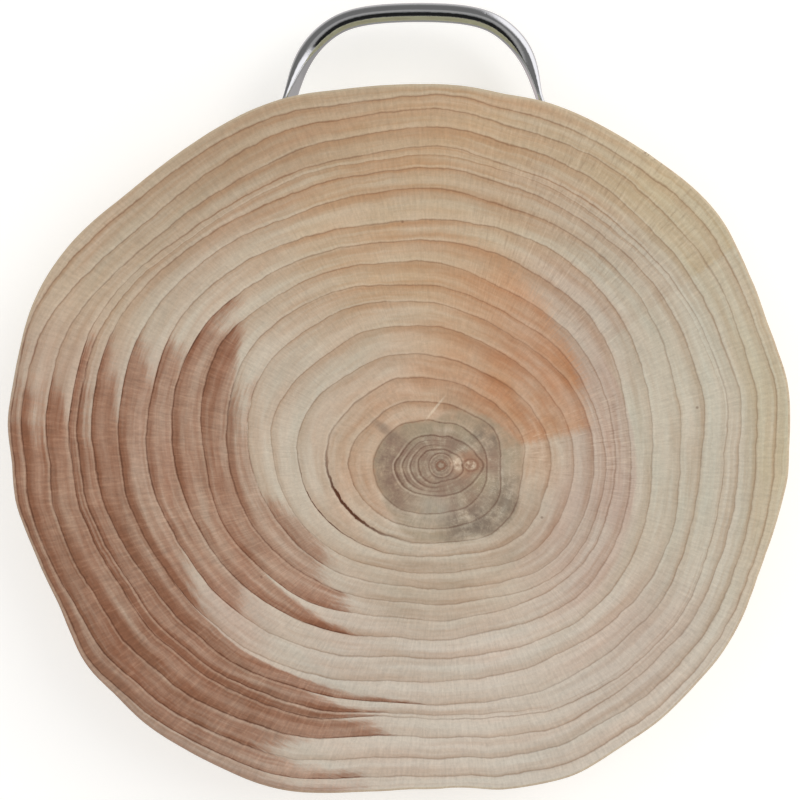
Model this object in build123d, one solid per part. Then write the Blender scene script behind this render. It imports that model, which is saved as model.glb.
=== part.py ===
from build123d import *
import math
import os

# Round chopping block: one slice of a trunk with a bent steel bow handle screwed to its side.
# Millimetres, +Z up. The origin is the middle of the underside of the wood.

# Block
block_span = 338.0          # widest distance across the slice, along X
block_thickness = 50.0
edge_ease = 1.2             # radius worn on the upper and lower rims
pith_x = 23.7               # the pith lies off the middle of the slice
pith_y = -10.8

# Handle
leg_spacing = 114.0         # between the middles of the two legs where they meet their feet
handle_reach = 45.8         # from the line through the feet to the middle of the grip
handle_x = 9.2              # middle of the handle, along X
grip_diameter = 8.2
strip_thickness = 2.4       # the bar is flattened to a strip at its ends
strip_breadth = 18.0
leg_splay = 15.6            # degrees by which the legs lean apart towards the block
bend_radius = 6.0           # to the middle of the strip, between leg and foot
foot_length = 27.0
foot_corner_radius = 7.0
edge_round_share = 0.49     # rounding of the bar's edges, of its thickness

# Seats of the feet in the wood
seat_depth = 0.8
seat_clearance = 0.3

# Wood screws
screw_diameter = 4.0
screw_length = 26.0
screw_tip_length = 5.0
screw_tip_radius = 0.3
head_diameter = 7.6
head_cone_height = 1.8
head_rim_height = 0.3
recess_width = 1.1
recess_length = 4.2
recess_depth = 1.5
hole_clearance = 0.3        # on the diameter of the holes in the feet
pilot_clearance = 0.1       # on the diameter of the holes in the wood
screw_inset = 8.0           # first screw, from the start of the foot
screw_pitch = 11.0          # between the two screws of a foot
screws_per_foot = 2

cut_overrun = 6.0           # how far cutting shapes run past the faces that they cut
rim_samples = 720           # steps round the rim where it is searched

# Rim of the slice: bearing from the pith in degrees, distance from it as a share of block_span
rim_shares = (
    (0, 0.4278), (5, 0.4308), (10, 0.4361), (14, 0.4393), (20, 0.4388), (25, 0.4411),
    (30, 0.4467), (35, 0.4527), (40, 0.4612), (45, 0.4654), (50, 0.4663), (55, 0.4663),
    (60, 0.4678), (65, 0.4704), (70, 0.4734), (75, 0.4751), (80, 0.4746), (85, 0.4787),
    (90, 0.4822), (95, 0.4852), (100, 0.4899), (105, 0.4959), (110, 0.5053), (113, 0.5107),
    (120, 0.5186), (125, 0.5225), (130, 0.5266), (135, 0.5325), (140, 0.5405), (145, 0.5533),
    (150, 0.5648), (155, 0.5728), (160, 0.5757), (165, 0.5740), (170, 0.5728), (175, 0.5728),
    (180, 0.5648), (185, 0.5621), (190, 0.5512), (195, 0.5420), (200, 0.5343), (205, 0.5334),
    (209, 0.5334), (212, 0.5284), (215, 0.5213), (220, 0.5139), (225, 0.5033), (230, 0.4920),
    (235, 0.4820), (240, 0.4731), (245, 0.4615), (250, 0.4464), (255, 0.4320), (260, 0.4201),
    (265, 0.4124), (270, 0.4083), (275, 0.4083), (280, 0.4142), (285, 0.4169), (290, 0.4198),
    (293, 0.4210), (300, 0.4169), (305, 0.4154), (310, 0.4163), (315, 0.4157), (320, 0.4151),
    (325, 0.4169), (330, 0.4169), (335, 0.4154), (340, 0.4133), (345, 0.4145), (350, 0.4183),
    (355, 0.4231),
)

# Middle line of the bow from leg to crown: share of half the leg spacing, share of the reach,
# and how round the bar is there, from 0 for the flat strip to 1 for the round grip
bow_shares = (
    (0.974, 0.213, 0.03), (0.947, 0.334, 0.27), (0.904, 0.487, 0.58), (0.846, 0.622, 0.83),
    (0.768, 0.742, 0.97), (0.670, 0.845, 1.0), (0.537, 0.928, 1.0), (0.386, 0.972, 1.0),
    (0.119, 0.998, 1.0),
)


def rim_curve():
    """The closed outline of the slice, seen from above."""
    points = []
    for bearing, share in rim_shares:
        turn = math.radians(bearing)
        distance = share * block_span
        points.append((pith_x + distance * math.cos(turn), pith_y + distance * math.sin(turn)))
    return Spline(*points, periodic=True)


rim = rim_curve()
rim_points = [rim @ (i / rim_samples) for i in range(rim_samples + 1)]


def rim_y(x):
    """Where the far side of the rim lies at one place along X."""
    for a, b in zip(rim_points, rim_points[1:]):
        if a.Y > 0 and a.X != b.X and (a.X - x) * (b.X - x) <= 0:
            return a.Y + (b.Y - a.Y) * (x - a.X) / (b.X - a.X)
    raise ValueError("the handle is wider than the block")


# Where the strips bend from leg to foot: the middle of the strip turns from the slope of the rim
# to the lean of the leg, and the foot's root follows from that turn
def foot_root_half(slope):
    turn = math.radians(90 - slope - leg_splay)
    middle = math.radians(180 - slope) - turn / 2
    chord = 2 * bend_radius * math.sin(turn / 2)
    return leg_spacing / 2 - chord * math.cos(middle)


def rim_slope(root, side):
    """How steeply the rim falls away, in degrees, under the foot on one side."""
    near = handle_x + side * root
    far = near + side * foot_length
    return math.degrees(math.atan2(rim_y(near) - rim_y(far), foot_length))


first_root = leg_spacing / 2 + bend_radius / 2
foot_slope = (rim_slope(first_root, 1) + rim_slope(first_root, -1)) / 2
root_half = foot_root_half(foot_slope)
left_root = Vector(handle_x - root_half, rim_y(handle_x - root_half))
right_root = Vector(handle_x + root_half, rim_y(handle_x + root_half))
handle_middle = (left_root + right_root) / 2
handle_frame = Plane(
    origin=(handle_middle.X, handle_middle.Y, block_thickness / 2),
    x_dir=right_root - left_root,
    z_dir=(0, 0, 1),
)

# The right foot in the handle's own frame: along runs out to its end, out points off the wood
slope_turn = math.radians(foot_slope)
along = Vector(math.cos(slope_turn), -math.sin(slope_turn))
out = Vector(math.sin(slope_turn), math.cos(slope_turn))
foot_back = Vector(root_half, 0) - out * seat_depth
strip_start = foot_back + out * (strip_thickness / 2)
bend_turn = math.radians(90 - foot_slope - leg_splay)
bend_centre = strip_start + out * bend_radius
leg_heading = Vector(-math.sin(math.radians(leg_splay)), math.cos(math.radians(leg_splay)))
leg_out = Vector(leg_heading.Y, -leg_heading.X)
leg_start = bend_centre - leg_out * bend_radius


def bar_section(origin, heading, roundness):
    """Cross-section of the bar: a rounded strip standing in Z, or a round bar."""
    thickness = strip_thickness + (grip_diameter - strip_thickness) * roundness
    breadth = strip_breadth + (grip_diameter - strip_breadth) * roundness
    plane = Plane(origin=origin, x_dir=Vector(heading.Y, -heading.X), z_dir=heading)
    return plane * RectangleRounded(thickness, breadth, thickness * edge_round_share)


def mirrored(point):
    return Vector(-point.X, point.Y)


def make_bow():
    """Legs and grip as one skin through sections that change from strip to round bar."""
    half = [(leg_start, 0.0)]
    for u_share, v_share, roundness in bow_shares:
        half.append((Vector(u_share * leg_spacing / 2, v_share * handle_reach), roundness))
    crown = [(Vector(0, handle_reach), 1.0)]
    stations = half + crown + [(mirrored(p), roundness) for p, roundness in reversed(half)]
    end_heading = Vector(leg_heading.X, -leg_heading.Y)
    line = Spline(*[p for p, _ in stations], tangents=(leg_heading, end_heading))
    sections = []
    for point, roundness in stations:
        heading = line.tangent_at(line.param_at_point(point))
        sections.append(bar_section(point, heading, roundness))
    return loft(sections)


def make_bend():
    """The strip between the right leg and its foot."""
    path = CenterArc(bend_centre, bend_radius, -90 - foot_slope, -math.degrees(bend_turn))
    return sweep(bar_section(strip_start, along * -1, 0.0), path=path)


def screw_places():
    return [screw_inset + i * screw_pitch for i in range(screws_per_foot)]


def foot_plate_plane(distance, height):
    """A plane on the right foot, some way along it and some way off the wood, facing outwards."""
    return Plane(origin=foot_back + along * distance + out * height, x_dir=along, z_dir=out)


def make_foot():
    """The right foot: a flat plate with a rounded end and two countersunk holes."""
    outline = Pos(foot_length / 2) * Rectangle(foot_length, strip_breadth)
    outline = fillet(outline.vertices().group_by(Axis.X)[-1], foot_corner_radius)
    plate = extrude(outline, strip_thickness)
    rounding = strip_thickness * edge_round_share
    edges = [e for e in plate.edges().filter_by(Plane.XY) if e.center().X > 0]
    plate = fillet(edges, rounding)
    cone_height = head_cone_height
    head_radius = head_diameter / 2 + hole_clearance / 2
    hole_radius = screw_diameter / 2 + hole_clearance / 2
    for place in screw_places():
        hole = Cylinder(hole_radius, strip_thickness + 2 * cut_overrun)
        mouth_height = head_rim_height + cut_overrun
        mouth = Pos(0, 0, strip_thickness - head_rim_height + mouth_height / 2) * Cylinder(
            head_radius, mouth_height
        )
        cone = Pos(0, 0, strip_thickness - head_rim_height - cone_height / 2) * Cone(
            hole_radius, head_radius, cone_height
        )
        plate -= Pos(place) * (hole + mouth + cone)
    return foot_plate_plane(0, 0) * plate


def make_screw():
    """One countersunk wood screw, its head's top at z = 0 and its point below."""
    shank_radius = screw_diameter / 2
    rim_part = Pos(0, 0, -head_rim_height / 2) * Cylinder(head_diameter / 2, head_rim_height)
    cone = Pos(0, 0, -head_rim_height - head_cone_height / 2) * Cone(
        shank_radius, head_diameter / 2, head_cone_height
    )
    head_height = head_rim_height + head_cone_height
    shank_length = screw_length - head_height - screw_tip_length
    shank = Pos(0, 0, -head_height - shank_length / 2) * Cylinder(shank_radius, shank_length)
    tip = Pos(0, 0, -screw_length + screw_tip_length / 2) * Cone(
        screw_tip_radius, shank_radius, screw_tip_length
    )
    recess = Box(recess_length, recess_width, 2 * recess_depth)
    recess += Box(recess_width, recess_length, 2 * recess_depth)
    return rim_part + cone + shank + tip - recess


def make_pilot():
    """The hole that one screw makes in the wood, in the screw's own frame."""
    radius = screw_diameter / 2 + pilot_clearance / 2
    straight = screw_length - screw_tip_length
    hole = Pos(0, 0, -straight / 2) * Cylinder(radius, straight)
    point = Pos(0, 0, -straight - screw_tip_length / 2) * Cone(
        screw_tip_radius + pilot_clearance / 2, radius, screw_tip_length
    )
    return hole + point


def make_seat():
    """The shallow recess that the right foot lies in."""
    length = foot_length + seat_clearance + cut_overrun
    height = seat_depth + cut_overrun
    breadth = strip_breadth + 2 * seat_clearance
    shape = Pos(length / 2 - cut_overrun) * Rectangle(length, breadth)
    corners = shape.vertices().group_by(Axis.X)[-1]
    shape = fillet(corners, foot_corner_radius + seat_clearance)
    return foot_plate_plane(0, 0) * extrude(shape, height)


def both_sides(right):
    """A right-hand shape and its mirror image, set in the handle's place on the block."""
    left = mirror(right, about=Plane.YZ)
    return handle_frame * right, handle_frame * left


def make_block():
    block = extrude(make_face(rim), block_thickness)
    rims = block.edges().group_by(Axis.Z)
    block = fillet(rims[0] + rims[-1], edge_ease)
    for seat in both_sides(make_seat()):
        block -= seat
    for place in screw_places():
        pilot = foot_plate_plane(place, strip_thickness) * make_pilot()
        for hole in both_sides(pilot):
            block -= hole
    return block


def make_handle():
    right_end = make_bend() + make_foot()
    left_end = mirror(right_end, about=Plane.YZ)
    return handle_frame * (make_bow() + right_end + left_end)


def make_screws():
    screws = []
    for place in screw_places():
        screw = foot_plate_plane(place, strip_thickness) * make_screw()
        screws.extend(both_sides(screw))
    return Compound(children=screws)


parts = {
    "chopping_block": make_block(),
    "bow_handle": make_handle(),
    "handle_screws": make_screws(),
}

os.makedirs("parts", exist_ok=True)
for name, shape in parts.items():
    export_step(shape, f"parts/{name}.step")
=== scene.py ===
"""Round chopping block: a slice of a trunk with a polished bow handle, dressed round its frame."""

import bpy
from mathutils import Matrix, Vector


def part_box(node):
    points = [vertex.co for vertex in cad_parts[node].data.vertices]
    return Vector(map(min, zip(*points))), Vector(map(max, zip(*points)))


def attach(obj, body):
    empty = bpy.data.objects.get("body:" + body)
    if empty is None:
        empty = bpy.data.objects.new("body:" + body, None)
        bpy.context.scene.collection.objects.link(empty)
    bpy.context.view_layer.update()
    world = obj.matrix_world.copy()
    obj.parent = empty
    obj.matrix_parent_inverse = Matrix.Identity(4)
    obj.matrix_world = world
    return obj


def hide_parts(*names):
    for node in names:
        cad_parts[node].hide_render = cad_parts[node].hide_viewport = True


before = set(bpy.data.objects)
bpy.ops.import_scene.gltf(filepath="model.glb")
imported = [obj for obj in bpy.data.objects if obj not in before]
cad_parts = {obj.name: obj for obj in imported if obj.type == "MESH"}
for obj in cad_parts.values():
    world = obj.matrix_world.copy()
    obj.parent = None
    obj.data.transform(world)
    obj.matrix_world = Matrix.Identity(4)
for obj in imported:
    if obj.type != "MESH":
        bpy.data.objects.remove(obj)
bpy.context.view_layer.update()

import math
from collections import namedtuple

import bmesh
import bpy
import numpy as np
from bpy.props import FloatProperty, FloatVectorProperty, PointerProperty
from mathutils import Vector, noise

bl_info = {
    "name": "Round Chopping Block",
    "version": (1, 0, 0),
    "blender": (4, 5, 0),
    "location": "View3D > Sidebar > Chopping Block",
    "description": "Dresses a sliced trunk with its rings, stains and polished bow handle",
    "category": "Object",
}

MM = 0.001

# The ring chart, read from the pith: reach of each line at every 15 degrees, anticlockwise from
# +X, in millimetres on a slice 338 mm wide. kink is how far a ring follows the small kinks of the
# rim, and line how dark its line is, all round or as (bearing, darkness) marks.
CHART_SPAN = 338.0
CHART_STEP = 15
Ring = namedtuple("Ring", "name kink line marks")
rings = (
    Ring("pith", 0, 0.9, (2.7,) * 24),
    Ring("heart_1", 0, 0.7, (5.3,) * 24),
    Ring("heart_2", 0, 0.9, (
        9.1, 9.1, 8.5, 7.4, 7.1, 7.0, 7.0, 7.1, 7.7, 8.7, 9.1, 9.9,
        9.9, 9.8, 9.6, 9.1, 8.7, 8.0, 7.0, 7.0, 7.0, 8.0, 8.8, 9.6)),
    Ring("heart_3", 0, ((60, 0.2), (130, 0.65), (200, 0.85), (260, 0.65), (300, 0.1)), (
        11.2, 11.4, 10.7, 9.5, 9.0, 9.0, 8.8, 9.2, 10.0, 11.2, 11.7, 12.6,
        13.2, 13.0, 12.5, 11.6, 10.7, 9.9, 9.1, 9.0, 9.2, 10.1, 10.9, 12.2)),
    Ring("heart_4", 0, ((60, 0.2), (130, 0.55), (200, 0.75), (260, 0.5), (300, 0.1)), (
        13.4, 13.7, 12.8, 11.6, 10.9, 11.0, 10.6, 11.3, 12.3, 13.7, 14.3, 15.3,
        16.5, 16.2, 15.4, 14.0, 12.6, 11.7, 11.1, 11.0, 11.4, 12.2, 13.0, 14.7)),
    Ring("heart_5", 0, 0.95, (
        18.2, 16.2, 15.0, 13.8, 12.7, 12.9, 12.4, 13.4, 14.6, 16.2, 16.9, 18.0,
        19.8, 19.4, 18.3, 16.5, 14.6, 13.5, 13.2, 13.1, 13.7, 14.4, 15.2, 16.4)),
    Ring("heart_6", 0, 0.8, (
        19.6, 19.8, 19.4, 18.9, 18.9, 18.7, 18.3, 20.3, 21.7, 24.6, 26.3, 28.3,
        29.3, 29.0, 27.7, 25.8, 23.4, 21.6, 20.4, 20.1, 20.6, 20.7, 20.4, 20.3)),
    Ring("o", 0, 0.75, (
        25.3, 26.3, 27.3, 26.6, 25.3, 25.9, 26.7, 28.3, 31.3, 33.3, 35.1, 38.9,
        40.0, 38.1, 35.7, 32.6, 30.1, 28.1, 27.0, 26.8, 27.3, 28.2, 28.0, 26.4)),
    Ring("n", 0, ((0, 0.7), (100, 0.75), (125, 0.85), (150, 0.95), (172, 1.05), (184, 1.25),
                  (196, 1.45), (210, 1.45), (222, 1.3), (234, 1.15), (244, 1.0), (256, 0.8)), (
        34.9, 36.6, 36.0, 35.3, 34.6, 35.7, 36.7, 38.9, 42.1, 44.0, 46.7, 49.7,
        49.4, 46.9, 43.3, 39.8, 36.6, 34.4, 33.0, 33.4, 35.4, 36.3, 36.3, 34.9)),
    Ring("m", 0, 0.7, (
        46.7, 46.6, 45.6, 44.7, 43.6, 44.4, 46.4, 49.6, 53.0, 55.4, 60.4, 63.0,
        61.7, 58.4, 53.4, 48.1, 43.9, 40.4, 38.8, 39.1, 41.3, 44.3, 45.6, 45.3)),
    Ring("l", 0, 0.6, (
        56.2, 56.6, 55.4, 54.7, 54.3, 56.0, 59.0, 61.6, 66.1, 68.3, 72.7, 75.6,
        72.3, 68.1, 62.7, 56.8, 51.0, 47.6, 46.0, 46.0, 48.9, 53.0, 54.7, 55.4)),
    Ring("k", 0, 0.7, (
        64.6, 64.9, 64.9, 63.4, 63.0, 64.9, 68.8, 72.7, 78.3, 82.2, 87.0, 86.6,
        82.4, 76.7, 70.7, 64.7, 58.1, 53.7, 52.9, 53.3, 56.3, 61.1, 63.3, 63.9)),
    Ring("j", 0, 0.7, (
        69.6, 69.1, 69.6, 70.3, 69.7, 72.0, 76.3, 79.9, 86.9, 92.5, 97.0, 95.7,
        92.2, 87.4, 80.1, 72.5, 65.9, 60.7, 59.8, 59.1, 62.6, 66.8, 68.7, 68.9)),
    Ring("i", 0, 0.7, (
        73.6, 74.4, 76.4, 78.0, 78.7, 80.7, 86.3, 89.9, 96.3, 102.2, 108.9, 108.0,
        102.7, 98.6, 90.3, 82.9, 73.7, 67.7, 66.4, 65.6, 67.7, 70.7, 73.1, 73.0)),
    Ring("h", 0, 0.8, (
        80.0, 81.0, 85.1, 89.0, 90.1, 93.0, 95.9, 98.9, 105.3, 112.5, 119.6, 120.6,
        116.4, 109.4, 101.6, 92.5, 83.9, 76.3, 74.7, 73.4, 75.9, 79.5, 80.1, 80.1)),
    Ring("g", 0.25, 0.75, (
        88.8, 91.4, 95.4, 99.5, 102.3, 103.6, 105.0, 107.1, 113.9, 122.9, 130.3, 130.6,
        128.5, 120.7, 113.1, 103.8, 94.1, 84.9, 82.6, 82.3, 84.6, 87.8, 89.1, 89.0)),
    Ring("f", 0.5, 0.75, (
        100.2, 103.3, 107.1, 110.6, 112.3, 113.4, 118.0, 120.6, 125.0, 133.8, 141.7, 144.0,
        140.3, 133.4, 124.4, 115.4, 105.3, 95.9, 92.3, 92.1, 93.3, 96.6, 99.7, 100.6)),
    Ring("e", 0.6, 0.8, (
        108.7, 113.7, 116.0, 118.0, 119.6, 122.1, 126.9, 129.1, 133.9, 142.2, 151.9, 156.3,
        152.0, 143.4, 133.4, 124.0, 113.1, 105.0, 102.3, 102.4, 104.4, 105.8, 108.4, 107.7)),
    Ring("d_twin", 0.8, ((0, 0.1), (60, 0.5), (110, 0.45), (140, 0.3), (162, 0.9), (215, 0.8),
                         (270, 0.7), (300, 0.1)), (
        116.2, 121.2, 121.8, 122.6, 124.4, 127.7, 132.3, 134.4, 139.6, 145.6, 156.4, 161.8,
        158.9, 150.9, 142.0, 131.2, 120.1, 109.9, 106.7, 108.1, 112.1, 114.4, 116.0, 115.0)),
    Ring("d", 0.8, 0.75, (
        118.2, 123.1, 123.9, 124.9, 127.6, 130.1, 136.2, 137.4, 142.3, 148.5, 159.9, 165.6,
        162.6, 155.1, 146.6, 135.5, 124.6, 111.6, 108.5, 109.9, 114.1, 116.5, 118.1, 117.0)),
    Ring("c", 1, 0.8, (
        124.1, 128.6, 129.9, 132.4, 136.3, 139.0, 144.4, 146.0, 150.4, 155.8, 166.3, 176.0,
        172.9, 167.4, 158.9, 147.0, 134.3, 120.4, 116.4, 118.1, 120.6, 121.2, 123.1, 122.9)),
    Ring("b", 1, 0.8, (
        131.0, 135.3, 138.3, 141.0, 144.6, 146.6, 152.1, 154.3, 160.7, 164.4, 175.1, 187.0,
        184.0, 177.5, 169.6, 157.2, 145.0, 130.3, 125.2, 126.6, 127.6, 129.2, 130.3, 130.0)),
    Ring("a", 1, 0.8, (
        138.6, 143.3, 145.3, 150.0, 150.9, 153.3, 158.1, 160.6, 168.6, 174.3, 185.1, 193.2,
        190.6, 181.4, 177.0, 164.8, 153.6, 139.0, 132.7, 134.6, 135.6, 136.1, 136.4, 136.3)),
)

# Brown stain in the band just inside a line: bearing where it starts at the line and at the inner
# edge of the band, how many degrees it takes to get full, bearing where it ends at the line and
# at the inner edge, degrees that it fades over, and how brown it gets
Stain = namedtuple("Stain", "start start_inner rise end end_inner fade depth")
stains = {
    "rim": Stain(158, 164, 22, 258, 246, 18, 0.48),
    "a": Stain(166, 172, 14, 256, 242, 8, 0.85),
    "b": Stain(168, 174, 12, 240, 247, 8, 1.0),
    "c": Stain(166, 175, 5, 260, 248, 6, 1.0),
    "d": Stain(160, 160, 4, 255, 252, 7, 1.0),
    "d_twin": Stain(168, 172, 11, 256, 238, 8, 0.95),
    "e": Stain(157, 173, 8, 266, 204, 8, 1.0),
    "f": Stain(155, 165, 7, 213, 203, 9, 0.95),
    "g": Stain(154, 158, 6, 222, 214, 9, 0.95),
    "h": Stain(141, 147, 13, 242, 213, 8, 1.0),
    "i": Stain(144, 156, 5, 238, 232, 8, 0.95),
    "j": Stain(160, 152, 22, 228, 218, 9, 0.7),
    "k": Stain(189, 196, 9, 225, 214, 10, 0.7),
}


def tint(red, green, blue):
    """Linear colour from the numbers, 0 to 255, that a paint chip is known by."""
    shares = (red / 255, green / 255, blue / 255)
    return tuple(s / 12.92 if s <= 0.04045 else ((s + 0.055) / 1.055) ** 2.4 for s in shares)


def colour(name, red, green, blue, words):
    return FloatVectorProperty(name=name, description=words, default=tint(red, green, blue),
                               subtype="COLOR", size=3, min=0, max=1)


def length(name, metres, words):
    return FloatProperty(name=name, description=words, default=metres, unit="LENGTH", precision=5)


def share(name, value, words):
    return FloatProperty(name=name, description=words, default=value, min=0, max=1, subtype="FACTOR")


class WoodSettings(bpy.types.PropertyGroup):
    pith_x: length("Pith X", 23.7 * MM, "Where the pith lies on the slice, along X")
    pith_y: length("Pith Y", -10.8 * MM, "Where the pith lies on the slice, along Y")
    edge_ease: length("Edge Ease", 1.2 * MM, "Radius worn on the upper and lower rims")
    groove: length("Groove", 0.03 * MM, "Depth of the fine groove along each ring line")
    flute: length("Flute", 0.7 * MM, "Depth of the flutes that run down the side")
    pale: colour("Pale", 210, 196, 176, "Plain pale wood")
    late: colour("Late", 218, 196, 178, "Tint that the late wood of a ring is multiplied by")
    line: colour("Line", 94, 54, 31, "Thin line that ends a ring")
    pale_line: colour("Pale Line", 228, 210, 184, "Pale line just outside a ring")
    stain: colour("Stain", 137, 88, 60, "Darkest brown of the stain on the left of the slice")
    stain_pale: colour("Stain Pale", 178, 136, 110, "Palest brown of the stain")
    cool: colour("Cool", 213, 201, 186, "Cooler pale wood away from the handle")
    tan: colour("Tan", 199, 171, 136, "Warm outer rings towards the handle")
    umber: colour("Umber", 174, 154, 131, "Darker patches here and there")
    warm: colour("Warm", 202, 163, 129, "Warm rings round the heart")
    orange: colour("Orange", 199, 144, 101, "Orange flush on the right of the heart")
    amber: colour("Amber", 203, 158, 108, "Yellower flush above the heart")
    straw: colour("Straw", 205, 188, 146, "Straw-yellow sapwood at the right rim")
    rose: colour("Rose", 193, 168, 152, "Rosy flush below and right of the heart")
    moss: colour("Moss", 204, 196, 177, "Cooler sapwood on the right")
    heart: colour("Heart", 166, 148, 123, "Grey heart round the pith")
    heart_pale: colour("Heart Pale", 180, 166, 149, "Palest parts of the heart")
    heart_warm: colour("Heart Warm", 147, 119, 101, "Warmer rings in the heart")
    heart_dark: colour("Heart Dark", 120, 103, 89, "Dark blotches of the heart")
    side_pale: colour("Side Pale", 218, 200, 166, "Palest fibres of the peeled side")
    side_dark: colour("Side Dark", 178, 147, 110, "Darkest fibres of the peeled side")
    side_grey: colour("Side Grey", 186, 184, 160, "Weathered side behind the handle")
    knot: colour("Knot", 140, 98, 74, "Small knot beside the pith")
    leaf: colour("Leaf", 172, 133, 106, "Leaf-shaped glow round the knot")
    roughness: share("Roughness", 0.55, "Roughness of the sanded and oiled wood")


class SteelSettings(bpy.types.PropertyGroup):
    bow: colour("Bow", 207, 219, 217, "Polished steel of the bow handle")
    screw: colour("Screw", 196, 196, 194, "Brushed steel of the screws")
    bow_roughness: share("Bow Roughness", 0.09, "Roughness of the polished bow")
    screw_roughness: share("Screw Roughness", 0.28, "Roughness of the screw heads")


class StageSettings(bpy.types.PropertyGroup):
    floor: colour("Floor", 244, 243, 240, "Plain pale floor")
    floor_size: length("Floor Size", 6.0, "Side of the floor")
    camera_height: length("Camera Height", 0.59181, "Height of the camera over the floor")
    camera_x: length("Camera X", 0.064956, "Place of the camera along X")
    camera_y: length("Camera Y", 0.017113, "Place of the camera along Y")
    camera_lean: FloatProperty(name="Camera Lean", description="Turn of the camera back over the block",
                               default=math.radians(6.2), subtype="ANGLE")
    lens: FloatProperty(name="Lens", description="Focal length for a sensor 36 mm wide", default=57.3,
                        subtype="DISTANCE_CAMERA")
    dome: FloatProperty(name="Dome", description="Strength of the even light from all round",
                        default=0.75, min=0)
    key: FloatProperty(name="Key", description="Power of the soft light from the upper right, in watts",
                       default=5.0, min=0)


class Term:
    """One output of a node, so that maths on values reads as an expression."""

    def __init__(self, shader, socket):
        self.shader = shader
        self.socket = socket

    def maths(self, operation, *others):
        node = self.shader.node("ShaderNodeMath", {"operation": operation}, {
            i: value for i, value in enumerate((self, *others))})
        return node.out(0)

    def __add__(self, other):
        return self.maths("ADD", other)

    def __sub__(self, other):
        return self.maths("SUBTRACT", other)

    def __mul__(self, other):
        return self.maths("MULTIPLY", other)

    def __truediv__(self, other):
        return self.maths("DIVIDE", other)

    def __pow__(self, other):
        return self.maths("POWER", other)

    def __rsub__(self, other):
        return self.maths("MULTIPLY", -1.0) + other

    def __neg__(self):
        return self.maths("MULTIPLY", -1.0)

    __radd__ = __add__
    __rmul__ = __mul__

    def clamp(self):
        return self.shader.node("ShaderNodeClamp", {}, {"Value": self}).out(0)

    def between(self, low, high, soft_low, soft_high):
        """1 from low to high, fading over a soft width at each end."""
        return self.ramp(low - soft_low / 2, low + soft_low / 2) * self.ramp(
            high + soft_high / 2, high - soft_high / 2)

    def ramp(self, low, high):
        """0 below low and 1 above high, smoothly; the other way round when high is the lower."""
        settings = {"interpolation_type": "SMOOTHSTEP"}
        if low < high:
            values = {"Value": self, "From Min": low, "From Max": high}
        else:
            values = {"Value": self, "From Min": high, "From Max": low, "To Min": 1.0, "To Max": 0.0}
        return self.shader.node("ShaderNodeMapRange", settings, values).out(0)


class Node:
    """A node that has been placed, with its outputs as terms."""

    def __init__(self, shader, node):
        self.shader = shader
        self.node = node

    def out(self, name):
        return Term(self.shader, self.node.outputs[name])


class Shader:
    """Builds the node tree of a material or of the world."""

    def __init__(self, owner):
        owner.use_nodes = True
        self.tree = owner.node_tree
        self.tree.nodes.clear()

    def node(self, kind, settings, values):
        """A node of one type, its settings and ramp stops first, then its sockets."""
        node = self.tree.nodes.new(kind)
        for name, value in settings.items():
            if name == "stops":
                self.set_stops(node.color_ramp, value)
            else:
                setattr(node, name, value)
        for name, value in values.items():
            socket = node.inputs[name]
            if isinstance(value, Term):
                self.tree.links.new(value.socket, socket)
            else:
                socket.default_value = value
        return Node(self, node)

    @staticmethod
    def set_stops(ramp, stops):
        """Gives a colour ramp its stops, (place, grey or colour), from left to right."""
        while len(ramp.elements) > 1:
            ramp.elements.remove(ramp.elements[-1])
        for i, (place, value) in enumerate(stops):
            element = ramp.elements[0] if i == 0 else ramp.elements.new(place)
            element.position = place
            grey = isinstance(value, (int, float))
            element.color = (value, value, value, 1) if grey else (*value, 1)

    def mix(self, factor, a, b, blend="MIX"):
        """Colour a turning into b."""
        settings = {"data_type": "RGBA", "blend_type": blend, "clamp_factor": True}
        node = self.node("ShaderNodeMix", settings, {0: factor})
        for place, value in ((6, a), (7, b)):
            socket = node.node.inputs[place]
            if isinstance(value, Term):
                self.tree.links.new(value.socket, socket)
            else:
                socket.default_value = (*value, 1)
        return node.out(2)

    def blend(self, factor, a, b):
        """Value a turning into b."""
        return self.node("ShaderNodeMix", {"data_type": "FLOAT"}, {0: factor, 2: a, 3: b}).out(0)

    def multiply(self, a, b):
        """Two colours multiplied."""
        return self.node("ShaderNodeVectorMath", {"operation": "MULTIPLY"}, {0: a, 1: b}).out(0)

    def brighten(self, shade, amount):
        """A colour times a value."""
        values = {0: shade, "Scale": amount}
        return self.node("ShaderNodeVectorMath", {"operation": "SCALE"}, values).out(0)

    def vector(self, x, y, z):
        return self.node("ShaderNodeCombineXYZ", {}, {0: x, 1: y, 2: z}).out(0)

    def parts(self, vector):
        node = self.node("ShaderNodeSeparateXYZ", {}, {0: vector})
        return node.out(0), node.out(1), node.out(2)

    def attribute(self, name):
        return self.node("ShaderNodeAttribute", {"attribute_name": name}, {}).out("Fac")

    def noise(self, vector, scale, detail=2.0, roughness=0.5):
        """Smooth noise about zero, from about -0.5 to 0.5."""
        values = {"Vector": vector, "Scale": scale, "Detail": detail, "Roughness": roughness}
        return self.node("ShaderNodeTexNoise", {}, values).out("Fac") - 0.5

    def bump(self, strength, distance, height):
        values = {"Strength": strength, "Distance": distance, "Height": height}
        return self.node("ShaderNodeBump", {}, values).out(0)

    def surface(self, values):
        """Ends a material with a principled surface."""
        shader = self.node("ShaderNodeBsdfPrincipled", {}, values)
        self.node("ShaderNodeOutputMaterial", {}, {"Surface": shader.out(0)})


def new_material(name):
    material = bpy.data.materials.new(name)
    return material, Shader(material)


def mesh_of(bm, name):
    """A new mesh with the shape that was built, which is then freed."""
    mesh = bpy.data.meshes.new(name)
    bm.to_mesh(mesh)
    bm.free()
    return mesh


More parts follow.
